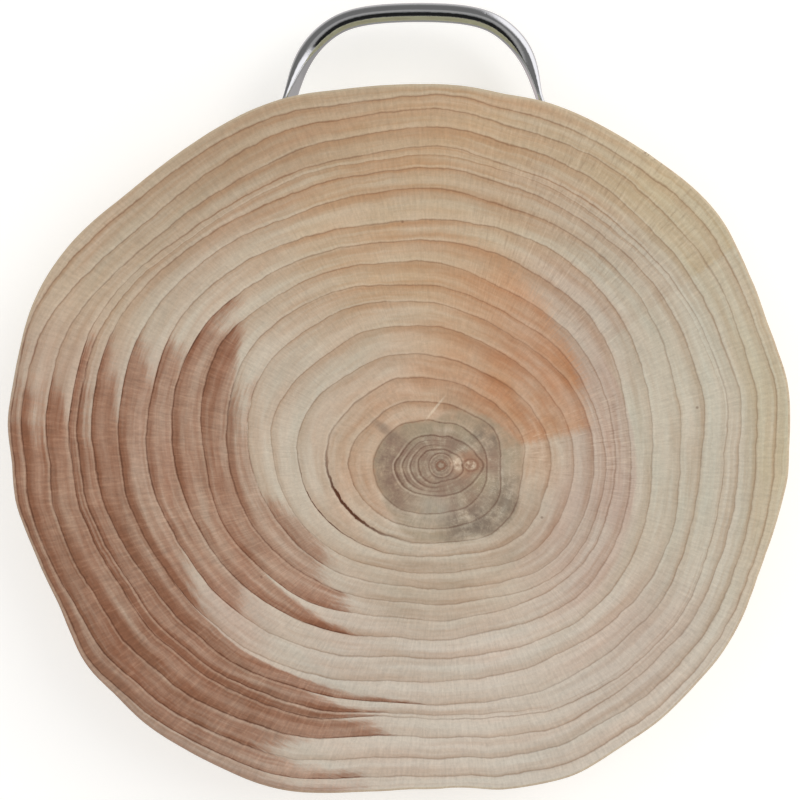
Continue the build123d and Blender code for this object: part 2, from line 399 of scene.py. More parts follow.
def vertex_places(mesh):
    """X, Y and Z of each vertex, a row each."""
    places = np.empty(len(mesh.vertices) * 3)
    mesh.vertices.foreach_get("co", places)
    return places.reshape(-1, 3)


CLEAR_OF_SEATS = 10 * MM    # above the middle of the side, where no seat cuts the rim


def rim_of_frame(settings, steps):
    """Reach of the frame's rim at each step of the bearing, read under its upper ease."""
    low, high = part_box("chopping_block")
    centre = Vector((settings.pith_x, settings.pith_y))
    seats_end = (low.z + high.z) / 2 + CLEAR_OF_SEATS
    marks = []
    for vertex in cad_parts["chopping_block"].data.vertices:
        if seats_end < vertex.co.z < high.z - settings.edge_ease * 0.98:
            arm = vertex.co.xy - centre
            marks.append((math.degrees(math.atan2(arm.y, arm.x)) % 360, arm.length))
    marks = sorted(set(marks))
    return closed_line(marks, np.arange(steps) * 360 / steps)


def round_curve(marks, bearings):
    """A smooth closed curve (Catmull-Rom) through evenly spaced marks, at some bearings."""
    marks = np.asarray(marks, float)
    place = np.asarray(bearings, float) / 360 * len(marks)
    first = np.floor(place).astype(int)
    t = place - first
    a, b, c, d = (marks[(first + i) % len(marks)] for i in (-1, 0, 1, 2))
    return b + 0.5 * t * (c - a + t * (2 * a - 5 * b + 4 * c - d + t * (3 * (b - c) + d - a)))


def closed_line(marks, bearings):
    """Straight lines through (bearing, value) marks all the way round."""
    if isinstance(marks, (int, float)):
        return np.full(len(bearings), float(marks))
    return np.interp(bearings, [m[0] for m in marks], [m[1] for m in marks], period=360)


class Chart:
    """Where every ring of the slice runs, and how it is coloured, at each bearing."""

    steps = 360
    least_gap = 0.5 * MM
    far = 8                 # as far inside or outside a stain as is told apart

    def __init__(self, settings):
        self.bearings = np.arange(self.steps) * 360 / self.steps
        self.rim = rim_of_frame(settings, self.steps)
        low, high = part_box("chopping_block")
        scale = (high.x - low.x) / CHART_SPAN
        kinks = self.rim - round_curve(self.rim[:: self.steps * CHART_STEP // 360], self.bearings)
        rows = [np.zeros(self.steps)]
        rows += [round_curve(ring.marks, self.bearings) * scale + ring.kink * kinks for ring in rings]
        rows.append(self.rim - settings.edge_ease)
        for i in range(len(rows) - 2, 0, -1):
            rows[i] = np.minimum(rows[i], rows[i + 1] - self.least_gap)
        self.rows = np.array(rows)
        self.names = [ring.name for ring in rings] + ["rim"]
        lines = [closed_line(ring.line, self.bearings) for ring in rings]
        self.lines = np.array([np.zeros(self.steps), *lines, np.zeros(self.steps)])
        self.stains = np.array([self.stain(name, "start", "end") for name in self.names])
        self.inner_stains = np.array([
            self.stain(name, "start_inner", "end_inner") for name in self.names])
        self.depths = np.array([stains[name].depth if name in stains else 0 for name in self.names])

    def stain(self, name, start, end):
        """How far inside its brown stain one edge of a band is at each bearing, negative outside."""
        if name not in stains:
            return np.full(self.steps, -float(self.far))
        found = stains[name]
        rise = (self.bearings - getattr(found, start)) / found.rise
        fall = (getattr(found, end) - self.bearings) / found.fade
        return np.clip(np.minimum(rise, fall), -self.far, self.far)

    def reach(self, places):
        """Reach at each bearing of (bearing, place) marks, a place being counted in rings."""
        at = closed_line(places, self.bearings)
        inner = np.floor(at).astype(int)
        columns = np.arange(self.steps)
        first = self.rows[inner, columns]
        second = self.rows[np.minimum(inner + 1, len(self.rows) - 1), columns]
        return first + (second - first) * (at - inner)


SLOTS = 6           # loops of the mesh in each band of the upper face
LOWER_SLOTS = 2     # and of the lower face
SIDE_LOOPS = 14
EASE_LOOPS = 3
CLOSE_TO_LINE = 0.35 * MM


def loop_reaches(rows, slots, close):
    """Reach of each loop of a face: evenly spaced in a band, or two of them close to its lines."""
    loops = []
    for inner, outer in zip(rows, rows[1:]):
        width = outer - inner
        near = np.minimum(close, width * 0.2)
        for slot in range(slots):
            if close and 0 < slot:
                even = near + (width - 2 * near) * (slot - 1) / (slots - 2)
            else:
                even = width * slot / slots
            loops.append(inner + even)
    return np.array([*loops, rows[-1]])


def side_profile(settings, low, high):
    """Height and inset of each loop of the side, with the eased edges."""
    ease = settings.edge_ease
    turns = [math.pi / 2 * (i + 1) / (EASE_LOOPS + 1) for i in range(EASE_LOOPS)]
    lower = [(low.z + ease * (1 - math.cos(t)), ease * (1 - math.sin(t))) for t in turns]
    upper = [(low.z + high.z - height, inset) for height, inset in reversed(lower)]
    wall = np.linspace(low.z + ease, high.z - ease, SIDE_LOOPS)
    return np.array(lower + [(height, 0.0) for height in wall] + upper)


def spin_blank(upper, lower, side):
    """A lathe-turned blank whose radius and height count the loops of the faces and the side."""
    outline = [(i, -1) for i in range(lower + 1)]
    outline += [(upper + 1, i) for i in range(side)]
    outline += [(i, side) for i in range(upper, -1, -1)]
    bm = bmesh.new()
    chain = [bm.verts.new((radius, 0, height)) for radius, height in outline]
    edges = [bm.edges.new(pair) for pair in zip(chain, chain[1:])]
    bmesh.ops.spin(bm, geom=chain + edges, axis=(0, 0, 1), cent=(0, 0, 0), steps=Chart.steps,
                   angle=math.tau, use_merge=True)
    bmesh.ops.remove_doubles(bm, verts=bm.verts, dist=0.001)
    bmesh.ops.recalc_face_normals(bm, faces=bm.faces)
    for face in bm.faces:
        face.smooth = True
    return mesh_of(bm, "end_grain_block")


# Flutes down the weathered side: how fine round the rim and down the side, and how strong
flutes = ((95, 9, 0.55), (300, 14, 0.35))
MEAN_FLUTE = 0.45
CALM_EDGE = 4 * MM      # the flutes fade out over this width towards the faces


def flute_cut(settings, chart, height, step, calm):
    """How deep the weathered side is cut at one height and bearing."""
    turn = math.radians(chart.bearings[step])
    arm = Vector((math.cos(turn), math.sin(turn), 0)) * chart.rim[step]
    depth = MEAN_FLUTE
    for round_rim, down, strength in flutes:
        depth += strength * noise.noise(arm * round_rim + Vector((0, 0, height * down)))
    return settings.flute * calm * max(0.0, depth)


class Blank:
    """The blank's counts for each vertex and corner, kept while it is pushed out to the chart."""

    def __init__(self, mesh, side):
        places = vertex_places(mesh)
        self.loop = np.rint(np.hypot(places[:, 0], places[:, 1])).astype(int)
        turn = np.degrees(np.arctan2(places[:, 1], places[:, 0]))
        self.step = np.rint(turn * Chart.steps / 360).astype(int) % Chart.steps
        self.level = np.rint(places[:, 2]).astype(int)
        self.upper = self.level == side
        self.lower = self.level == -1
        self.corner_vertex = np.empty(len(mesh.loops), int)
        mesh.loops.foreach_get("vertex_index", self.corner_vertex)
        starts = np.empty(len(mesh.polygons), int)
        mesh.polygons.foreach_get("loop_start", starts)
        sizes = np.diff([*starts, len(mesh.loops)])
        of_corner = self.corner_vertex
        innermost = np.minimum.reduceat(self.loop[of_corner], starts)
        upper = np.logical_and.reduceat(self.upper[of_corner], starts)
        lower = np.logical_and.reduceat(self.lower[of_corner], starts)
        first = np.minimum.reduceat(self.step[of_corner], starts)
        last = np.maximum.reduceat(self.step[of_corner], starts)
        self.corner_upper = np.repeat(upper, sizes)
        self.corner_lower = np.repeat(lower, sizes)
        self.corner_inner = np.repeat(innermost, sizes)
        self.corner_wraps = np.repeat(last - first > Chart.steps // 2, sizes)


def shape_block(mesh, blank, chart, settings, low, high):
    """Pushes the blank's vertices out to the chart and cuts the grooves and the weathered side."""
    upper = loop_reaches(chart.rows, SLOTS, CLOSE_TO_LINE)
    lower = loop_reaches(chart.rows, LOWER_SLOTS, 0)
    profile = side_profile(settings, low, high)
    reach = np.empty(len(blank.loop))
    height = np.empty(len(blank.loop))
    reach[blank.upper] = upper[blank.loop[blank.upper], blank.step[blank.upper]]
    line = chart.lines[blank.loop // SLOTS % len(chart.lines), blank.step]
    groove = settings.groove * np.where(blank.loop % SLOTS == 0, line, 0)
    height[blank.upper] = (high.z - groove)[blank.upper]
    reach[blank.lower] = lower[blank.loop[blank.lower], blank.step[blank.lower]]
    height[blank.lower] = low.z
    for i in np.flatnonzero(~(blank.upper | blank.lower)):
        height[i], inset = profile[blank.level[i]]
        step = blank.step[i]
        calm = min(1.0, min(height[i] - low.z, high.z - height[i]) / CALM_EDGE)
        reach[i] = chart.rim[step] - inset - flute_cut(settings, chart, height[i], step, calm)
    turn = np.radians(chart.bearings[blank.step])
    x = settings.pith_x + reach * np.cos(turn)
    y = settings.pith_y + reach * np.sin(turn)
    mesh.vertices.foreach_set("co", np.stack((x, y, height), 1).ravel())
    return reach


def paint_corners(mesh, blank, chart, reach):
    """Keeps on each corner where it lies between the lines of its band, and what colours it."""
    vertex = blank.corner_vertex
    step = blank.step[vertex]
    slots = np.where(blank.corner_lower, LOWER_SLOTS, SLOTS)
    cut = blank.corner_upper | blank.corner_lower
    band = np.where(cut, blank.corner_inner // slots, len(chart.names) - 1)
    band = np.minimum(band, len(chart.names) - 1)
    reach = reach[vertex]
    kept = {
        "side": ~cut,
        "band": band,
        "from_line": (reach - chart.rows[band, step]) / MM,
        "to_line": (chart.rows[band + 1, step] - reach) / MM,
        "line": chart.lines[band + 1, step],
        "line_before": chart.lines[band, step],
        "stain": chart.stains[band, step],
        "stain_inner": chart.inner_stains[band, step],
        "stain_depth": chart.depths[band],
        "heart": (chart.reach(heart_border)[step] - reach) / MM,
    }
    for name, values in kept.items():
        attribute = mesh.attributes.new(name, "FLOAT", "CORNER")
        attribute.data.foreach_set("value", values.astype(np.float32))


def keep_bake_map(mesh, blank, low, high):
    """The piece's own map: the upper face large, the lower one small, the side in a strip."""
    span = high - low
    vertex = blank.corner_vertex
    spot = vertex_places(mesh)[vertex] - np.array(low)
    flat = spot[:, :2] / max(span.x, span.y)
    step = blank.step[vertex]
    turn = np.where(blank.corner_wraps & (step == 0), Chart.steps, step) / Chart.steps
    where = np.stack((0.003 + 0.994 * turn, 0.003 + 0.19 * spot[:, 2] / span.z), 1)
    where = np.where(blank.corner_upper[:, None], flat * 0.79 + (0.002, 0.202), where)
    where = np.where(blank.corner_lower[:, None], flat * 0.195 + 0.8, where)
    layer = mesh.uv_layers.new(name="OFBake")
    layer.data.foreach_set("uv", where.ravel())


# Seats of the handle's feet in the side of the wood: the way each one faces, how far its floor
# lies from the middle of the block and how far along the floor its rounded end lies, in millimetres
Seat = namedtuple("Seat", "face_x face_y floor end")
seats = (Seat(0.447, 0.8945, 158.21, 25.44), Seat(-0.4018, 0.9157, 153.47, -15.32))
SEAT_LENGTH = 33.3
SEAT_BREADTH = 18.6
SEAT_CORNER = 7.3
SEAT_OVERRUN = 8.0
SEAT_CORNER_STEPS = 8


def seat_cutter(seat, height):
    """The shape that a foot's seat is cut with, rounded at its outer end."""
    way = math.copysign(1, seat.end)
    half = SEAT_BREADTH / 2
    inner = abs(seat.end) - SEAT_CORNER
    outline = [(abs(seat.end) - SEAT_LENGTH, across) for across in (half, -half)]
    for edge in (-1, 1):
        for i in range(SEAT_CORNER_STEPS + 1)[::edge]:
            turn = math.pi / 2 * (i / SEAT_CORNER_STEPS)
            across = edge * (half - SEAT_CORNER + SEAT_CORNER * math.sin(turn))
            outline.append((inner + SEAT_CORNER * math.cos(turn), across))
    face = Vector((seat.face_x, seat.face_y, 0)).normalized()
    along = Vector((face.y, -face.x, 0)) * way
    bm = bmesh.new()
    uv = bm.loops.layers.uv.new("OFBake")
    side = bm.loops.layers.float.new("side")
    base = [bm.verts.new((face * seat.floor + along * u + Vector((0, 0, height / MM + v))) * MM)
            for u, v in outline]
    bottom = bm.faces.new(base)
    top = bmesh.ops.extrude_face_region(bm, geom=[bottom])
    lifted = [item for item in top["geom"] if isinstance(item, bmesh.types.BMVert)]
    bmesh.ops.translate(bm, verts=lifted, vec=face * SEAT_OVERRUN * MM)
    bmesh.ops.recalc_face_normals(bm, faces=bm.faces)
    for corner in (corner for f in bm.faces for corner in f.loops):
        place = corner.vert.co
        off_floor = place.dot(face) - seat.floor * MM
        corner[uv].uv = (0.82 + abs(place.x) * 1.2, 0.3 + place.z * 2 + off_floor * 4)
        corner[side] = 1.0
    return mesh_of(bm, "seat_cutter")


def cut_seats(mesh, height):
    """The block's mesh with both seats cut out of its side."""
    block = bpy.data.objects.new("uncut_block", mesh)
    bpy.context.scene.collection.objects.link(block)
    cutters = []
    for seat in seats:
        cutter = bpy.data.objects.new("seat_cutter", seat_cutter(seat, height))
        bpy.context.scene.collection.objects.link(cutter)
        cut = block.modifiers.new("seat", "BOOLEAN")
        cut.operation = "DIFFERENCE"
        cut.solver = "EXACT"
        cut.object = cutter
        cutters.append(cutter)
    depsgraph = bpy.context.evaluated_depsgraph_get()
    finished = bpy.data.meshes.new_from_object(block.evaluated_get(depsgraph), depsgraph=depsgraph)
    for piece in (block, *cutters):
        spent = piece.data
        bpy.data.objects.remove(piece)
        bpy.data.meshes.remove(spent)
    return finished


def build_block(settings):
    """The slice as one mesh, with what its rings need kept on its corners."""
    chart = Chart(settings)
    low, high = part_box("chopping_block")
    bands = len(chart.names)
    side = SIDE_LOOPS + 2 * EASE_LOOPS
    mesh = spin_blank(bands * SLOTS, bands * LOWER_SLOTS, side)
    blank = Blank(mesh, side)
    reach = shape_block(mesh, blank, chart, settings, low, high)
    paint_corners(mesh, blank, chart, reach)
    keep_bake_map(mesh, blank, low, high)
    return cut_seats(mesh, (low.z + high.z) / 2)


# Border of the grey heart: bearing and place, counted in rings from the pith
heart_border = ((0, 9.0), (15, 8.9), (30, 8.5), (60, 8.1), (85, 7.6), (105, 7.0), (205, 7.0),
                (222, 7.6), (238, 8.3), (252, 9.0), (285, 9.3), (345, 9.1))

# Broad zones of colour, laid one over the other: how strong, bearing of the middle, half the turn
# and how soft its ends are, then reach and softness of the inner and of the outer border, in
# millimetres. One without an outer border runs to the rim.
Zone = namedtuple("Zone", "shade amount bearing half_turn soft_turn inner soft_inner outer soft_outer",
                  defaults=(400, 1))
zones = (
    Zone("cool", 0.8, 280, 62, 50, 66, 30),
    Zone("moss", 0.85, 12, 40, 44, 82, 2.5),
    Zone("moss", 0.5, 52, 12, 30, 104, 30),
    Zone("tan", 0.75, 96, 34, 44, 62, 60),
    Zone("tan", 0.45, 140, 40, 60, 146, 30),
    Zone("tan", 0.4, 42, 24, 24, 134, 14),
    Zone("umber", 0.42, 122, 22, 40, 132, 30),
    Zone("umber", 0.28, 62, 22, 24, 108, 20, 134, 16),
    Zone("umber", 0.5, 318, 26, 40, 36, 10, 52, 18),
    Zone("rose", 0.6, 8, 26, 14, 55, 22, 82, 1.5),
    Zone("rose", 0.42, 46, 20, 22, 64, 14, 99, 14),
    Zone("rose", 0.6, 333, 22, 30, 48, 20, 84, 8),
    Zone("rose", 0.35, 318, 14, 24, 96, 16, 128, 12),
    Zone("warm", 0.55, 130, 88, 50, 16, 6, 48, 22),
    Zone("warm", 0.5, 5, 14, 30, 30, 10, 50, 16),
    Zone("warm", 0.5, 92, 18, 30, 24, 10, 62, 36),
    Zone("umber", 0.6, 62, 26, 24, 22, 6, 34, 12),
    Zone("amber", 0.24, 80, 22, 34, 48, 22, 86, 18),
    Zone("umber", 0.35, 264, 24, 30, 38, 10, 68, 10),
    Zone("rose", 0.65, 214, 10, 14, 98, 12, 133, 10),
    Zone("rose", 0.5, 172, 12, 16, 112, 16),
    Zone("straw", 0.4, 24, 40, 36, 130, 12),
    Zone("amber", 0.25, 92, 14, 30, 124, 14, 156, 12),
)
heart_zones = (
    Zone("heart_warm", 0.78, 200, 180, 1, -5, 1, 14, 4),
    Zone("heart_warm", 0.9, 188, 44, 36, 13, 5, 27, 5),
    Zone("heart_dark", 0.22, 194, 26, 30, 17, 4, 29, 3),
    Zone("heart_pale", 0.7, 264, 28, 40, 13, 5, 25, 8),
    Zone("heart_warm", 0.7, 6, 16, 20, 13, 4, 26, 5),
    Zone("heart_warm", 0.6, 305, 24, 24, 13, 4, 24, 5),
    Zone("heart_dark", 0.7, 32, 12, 16, 16, 5, 27, 5),
    Zone("heart_dark", 0.6, 322, 28, 26, 24, 7, 38, 4),
    Zone("heart_dark", 0.6, 292, 18, 20, 21, 6, 33, 4),
)


class Slice:
    """The places and noises that the wood's colour is worked out from, and its colour so far."""

    def __init__(self, s, settings):
        self.s = s
        self.settings = settings
        self.wood = self.shade("pale")
        names = ("band", "line", "line_before", "heart", "from_line", "to_line")
        self.band, self.line, self.line_before, self.heart, from_line, to_line = map(s.attribute, names)
        self.spot = s.brighten(s.node("ShaderNodeTexCoord", {}, {}).out("Object"), 1 / MM)
        x, y, self.z = s.parts(self.spot)
        self.x = x - settings.pith_x / MM
        self.y = y - settings.pith_y / MM
        self.reach = (self.x * self.x + self.y * self.y).maths("SQRT")
        safe = self.reach.maths("MAXIMUM", 0.5)
        self.cosine, self.sine = self.x / safe, self.y / safe
        bearing = self.y.maths("ARCTAN2", self.x) * (180 / math.pi)
        self.bearing = bearing + bearing.maths("LESS_THAN", 0.0) * 360.0
        wobble = s.noise(self.spot, 0.12) * 1.6 + s.noise(self.spot, 0.7) * 0.45
        wobble = wobble * (0.3 + self.reach.ramp(2.0, 40.0) * 0.7)
        self.past = from_line + wobble
        self.short = to_line - wobble
        through = self.past / (from_line + to_line).maths("MAXIMUM", 0.1)
        self.through = through.clamp()
        far_rays = self.round_noise(120.0, self.reach * 0.16, 2.0)
        near_rays = self.round_noise(38.0, self.reach * 0.22, 2.0)
        self.rays = s.blend(self.reach.ramp(35.0, 75.0), near_rays, far_rays)
        self.streaks = self.round_noise(1.6, (self.band + through) * 2.6)
        self.fine = self.round_noise(13.0, self.reach * 1.15, 3.0, 0.7)
        self.pores = s.noise(self.spot, 0.95, 3.0, 0.8)
        self.cloud = s.noise(self.spot, 0.018)
        self.patchy = s.noise(self.spot, 0.07)
        self.hue = self.round_noise(2.0, self.reach * 0.12, 2.0, 0.5)

    def round_noise(self, turns, depth, detail=3.0, roughness=0.6):
        """Noise that runs round the pith, finer with more turns, and varies along depth."""
        vector = self.s.vector(self.cosine * turns, self.sine * turns, depth)
        return self.s.noise(vector, 1.0, detail, roughness)

    def around(self, middle, half, soft):
        """1 within half of a bearing, fading over soft degrees."""
        off = (self.bearing - middle + 540.0).maths("MODULO", 360.0) - 180.0
        return off.maths("ABSOLUTE").ramp(half + soft / 2, half - soft / 2)

    def patch(self, x, y, half_x, half_y, soft, turn=0.0, fray=0.0):
        """1 in an ellipse about a place measured from the pith, in millimetres."""
        turn = math.radians(turn)
        u = (self.x - x) * math.cos(turn) + (self.y - y) * math.sin(turn)
        v = (self.y - y) * math.cos(turn) - (self.x - x) * math.sin(turn)
        u, v = u / half_x, v / half_y
        far = (u * u + v * v).maths("SQRT") + self.patchy * fray
        return far.ramp(1 + soft / 2, 1 - soft / 2)

    def shade(self, name):
        return tuple(getattr(self.settings, name))

    def lay(self, amount, name):
        """Turns the wood into one of the settings' colours by an amount."""
        self.wood = self.s.mix(amount, self.wood, self.shade(name))


def lay_zones(cut, laid, worn):
    """Lays zones of colour over the wood, as far as worn lets them show."""
    for zone in laid:
        reach = cut.reach + cut.fine * (zone.soft_outer + zone.soft_inner) * 0.1
        mask = cut.around(zone.bearing, zone.half_turn, zone.soft_turn) * reach.between(
            zone.inner, zone.outer, zone.soft_inner, zone.soft_outer)
        cut.lay(mask * (worn * zone.amount), zone.shade)


def lay_seam(cut):
    """The radial seam on the upper right, below which the wood turns cooler."""
    bearing = cut.bearing + cut.fine * 1.2
    below = bearing.ramp(37.4, 36.4) * bearing.ramp(0.0, 30.0) * cut.reach.ramp(83.0, 92.0)
    cut.lay(below * 0.5, "moss")
    edge = bearing.between(36.8, 39.5, 0.5, 2.5) * cut.reach.between(86, 150, 6, 10)
    cut.lay(edge * 0.16, "umber")


def lay_flush(cut):
    """The orange flush on the right of the heart, with its sharp outer and lower borders."""
    bearing = cut.bearing + cut.fine * 5.0
    border = 66 + (cut.bearing - 16) * 0.33 + (cut.bearing - 50).maths("MAXIMUM", 0.0) * 0.3
    short = border + cut.patchy * 4.0 + cut.rays * 9.0 - cut.reach
    orange = bearing.ramp(11.5, 17.5) * bearing.ramp(104.0, 52.0)
    orange = orange * short.ramp(-3.0, 6.0) * cut.reach.ramp(10.0, 40.0)
    strong = 0.66 + short.ramp(26.0, 4.0) * 0.08 + cut.patchy * 0.8 + cut.streaks * 0.7
    cut.lay(orange * strong.clamp(), "orange")


def lay_late_wood(cut):
    """Deepens the late wood of each ring, which glows towards the handle."""
    late = cut.through ** 2.4 * (cut.line * 1.8).clamp() * (1 - cut.short.ramp(0.1, -0.1))
    late = late.maths("MAXIMUM", cut.past.ramp(0.1, -0.1))
    tone = 0.12 + late * 0.5 + cut.streaks * 1.5 + cut.fine * 0.4
    cut.wood = cut.s.mix(tone.clamp(), cut.wood, cut.s.multiply(cut.wood, cut.shade("late")))
    glow = cut.around(98, 44, 50) * cut.reach.ramp(50.0, 90.0)
    cut.lay(glow * (late * 0.7 + cut.streaks * 2.6).clamp() * 0.26, "orange")


def lay_heart(cut):
    """The grey heart with its smudges and veins."""
    s = cut.s
    heart = (cut.heart + cut.patchy * 4.0 + cut.rays * 4.0).ramp(-0.8, 2.0)
    inner = cut.band.maths("LESS_THAN", 6.5)
    blotch = s.noise(cut.spot, 0.2, 4.0, 0.65)
    spokes = cut.round_noise(3.4, cut.reach * 0.035)
    grey = heart * (0.6 + inner * 0.24 + cut.streaks * 0.8 + spokes * 0.8 + blotch * 0.9)
    cut.lay(grey.clamp(), "heart")
    grain = s.noise(cut.spot, 0.9, 3.0, 0.75)
    mottled = (0.75 + blotch * 2.8 + spokes * 1.8 + cut.streaks + grain * 1.2).clamp()
    lay_zones(cut, heart_zones, heart * mottled)
    vein = s.noise(cut.spot, 0.17, 3.0, 0.6).maths("ABSOLUTE").ramp(0.016, 0.004)
    vein = vein * cut.around(325, 50, 24) * cut.reach.between(14, 34, 6, 5)
    cut.lay(heart * vein * 0.2, "pale_line")
    smudge = cut.patch(-24.0, 15.2, 6.8, 2.4, 1.4, 139, 2.5)
    cut.lay(smudge * 0.55, "heart_dark")
    gleam = cut.patch(-2.6, 24.3, 5.6, 0.5, 1.2, 51)
    cut.lay(gleam * 0.6, "pale_line")


def lay_knot(cut):
    """The small knot beside the pith and the pith itself."""
    speck = cut.s.noise(cut.spot, 0.6, 3.0, 0.6)
    leaf = cut.patch(11.4, 0.6, 7.4, 5.2, 0.8, 0, 2.0)
    cut.lay(leaf * (0.85 + speck * 1.6).clamp(), "leaf")
    halo = cut.patch(7.3, 0.8, 2.2, 3.0, 1.2, 10, 2.0)
    cut.lay(halo * (0.6 + speck * 2.4), "pale_line")
    off_x, off_y = cut.x - 12.6, (cut.y - 0.2) * 1.25
    off = (off_x * off_x + off_y * off_y).maths("SQRT") + speck * 2.0
    cut.lay(off.ramp(3.2, 2.2) * (0.3 + speck * 4.0).clamp() * 0.75, "pale_line")
    bark = (off - 3.1).maths("ABSOLUTE").ramp(0.9, 0.2) + off.ramp(1.2, 0.4)
    cut.lay(bark * 0.6, "knot")
    turns = cut.reach + speck * 1.6 + cut.patchy * 2.0
    core = (turns - 1.5).maths("ABSOLUTE").ramp(0.8, 0.2)
    ripples = (turns * 2.9 + 0.6).maths("SINE") + speck * 2.0
    near = cut.reach.ramp(10.0, 4.0)
    cut.lay(near * ripples.clamp() * 0.2, "pale_line")
    cut.lay(near * (-ripples).clamp() * 0.22, "heart_dark")
    cut.lay(core * 0.7, "knot")


def lay_stain(cut):
    """The brown heart stain, streaky and frayed at its ends; says how far it covers the wood."""
    s = cut.s
    inside = s.blend(cut.through ** 0.6, s.attribute("stain_inner"), s.attribute("stain"))
    inside = inside + cut.rays * 0.6 + cut.fine * 0.8 + cut.patchy * 1.1 + cut.streaks * 0.8
    stained = inside.ramp(-0.3, 0.8) * s.attribute("stain_depth")
    near_line = cut.short.ramp(4.8, 0.4) * 0.52
    deep = cut.around(210, 22, 30) * cut.reach.ramp(100.0, 138.0) * 0.3
    dark = 0.26 + near_line + deep + cut.streaks * 2.0 + cut.fine * 0.6 + cut.patchy * 0.9
    cut.lay(stained * (0.82 + cut.streaks * 0.8), "stain_pale")
    cut.lay(stained * dark.clamp() * 0.9, "stain")
    return stained


def lay_lines(cut, stained):
    """The dark line that ends a ring and the pale line outside it; says how dark it is."""
    def stroke(strength, off):
        return (strength * 1.3 - off.maths("ABSOLUTE") / 0.48).clamp()

    worn = 1 + cut.fine * 1.8 + cut.patchy * 1.4 + cut.pores
    inside = stroke(cut.line * worn, cut.short - 0.15)
    outside = stroke(cut.line_before * worn, cut.past + 0.15)
    dark = inside.maths("MAXIMUM", outside)
    crack = (cut.line.maths("MAXIMUM", cut.line_before) - 1).clamp()
    ink = 0.26 + stained * 0.44 + crack * 1.8 + cut.heart.ramp(0.0, 2.0) * 0.2
    cut.lay(dark * (ink + cut.around(110, 60, 60) * 0.1), "line")
    pale = cut.line_before * cut.past.between(0.4, 1.1, 0.3, 0.6)
    beside_heart = cut.around(195, 40, 30) * cut.reach.between(11, 24, 3, 3)
    cut.lay(pale * (0.1 + stained * 0.06 + beside_heart * 0.24), "pale_line")
    return dark


def lay_grain(cut, stained):
    """Rays, pores and fine saw marks over the whole cut face."""
    s = cut.s
    rays = cut.rays * (0.34 + stained * 0.3)
    cut.wood = s.brighten(cut.wood, 1 + rays + cut.pores * 0.4 + cut.cloud * 0.15 + cut.fine * 0.2)
    sawn = cut.around(8, 16, 16) * cut.reach.between(38, 82, 10, 6)
    sawn = sawn + cut.around(58, 20, 20) * cut.reach.between(72, 160, 20, 30) * 0.5
    cut.lay((cut.rays * 7.0 - 0.5).clamp() * (stained * 0.05 + sawn * 0.32), "pale_line")
    cut.lay((cut.rays * -7.0 - 0.6).clamp() * sawn * 0.35, "knot")
    cut.wood = s.multiply(cut.wood, s.vector(1 + cut.hue * 0.16, 1.0, 1 - cut.hue * 0.05))


# Bearing and reach of a few dark pinhead specks, and their radius in millimetres
specks = ((212, 92.0), (13, 110.0), (99, 105.5), (333, 48.0), (172, 165.0))
SPECK_RADIUS = 0.55


def lay_specks(cut):
    for bearing, reach in specks:
        turn = math.radians(bearing)
        dot = cut.patch(reach * math.cos(turn), reach * math.sin(turn), SPECK_RADIUS, SPECK_RADIUS, 1)
        cut.lay(dot * 0.45, "line")


def side_colours(cut):
    """The peeled side of the trunk, with fibres that run down it and a few drying checks."""
    s = cut.s
    fibre = cut.round_noise(150.0, cut.z * 0.035, 4.0, 0.65)
    strands = cut.round_noise(34.0, cut.z * 0.02)
    broad = cut.round_noise(6.0, cut.z * 0.015, 3.0, 0.5)
    tone = (0.45 + fibre * 1.6 + strands * 1.5 + broad * 1.6).clamp()
    bark = s.mix(tone, cut.shade("side_pale"), cut.shade("side_dark"))
    stained = cut.around(215, 28, 30) * (0.5 + broad * 2.0 + strands).clamp()
    bark = s.mix(stained * 0.75, bark, cut.shade("stain_pale"))
    bark = s.mix(cut.around(96, 22, 30) * 0.5, bark, cut.shade("side_grey"))
    lines = cut.round_noise(11.0, cut.z * 0.0015, 2.0, 0.5).maths("ABSOLUTE")
    check = lines.ramp(0.006, 0.001) * (s.noise(cut.spot, 0.03) * 9.0 - 0.6).clamp()
    bark = s.mix(check * 0.75, bark, cut.shade("line"))
    ends = cut.z.ramp(44.0, 50.0) + cut.z.ramp(6.0, 0.0)
    bark = s.mix(ends * 0.3, bark, cut.shade("pale"))
    return bark, fibre, check


def wood_material(settings):
    """End grain: rings from the corners' own distances, with stain, rays and fine pores."""
    material, s = new_material("end_grain_wood")
    cut = Slice(s, settings)
    lay_zones(cut, zones, 1 + cut.patchy * 0.8 + cut.streaks * 0.8)
    lay_seam(cut)
    lay_flush(cut)
    lay_late_wood(cut)
    lay_heart(cut)
    lay_knot(cut)
    stained = lay_stain(cut)
    dark = lay_lines(cut, stained)
    lay_grain(cut, stained)
    lay_specks(cut)

    side = s.attribute("side")
    bark, fibre, check = side_colours(cut)
    worn_rim = cut.z.ramp(48.9, 49.7) + cut.z.ramp(1.1, 0.3)
    worn_rim = worn_rim * (0.3 + cut.around(205, 40, 30) * 0.7)
    cut_face = cut.pores * 0.3 + cut.rays * 0.5 - dark * 0.3
    s.surface({
        "Base Color": s.mix(side * (1 - worn_rim), cut.wood, bark),
        "Roughness": settings.roughness + cut.pores * 0.15 + cut.rays * 0.15,
        "Normal": s.bump(0.4, 0.0003, s.blend(side, cut_face, fibre * 2.0 - check * 1.5)),
        "Specular IOR Level": 0.35,
    })
    return material


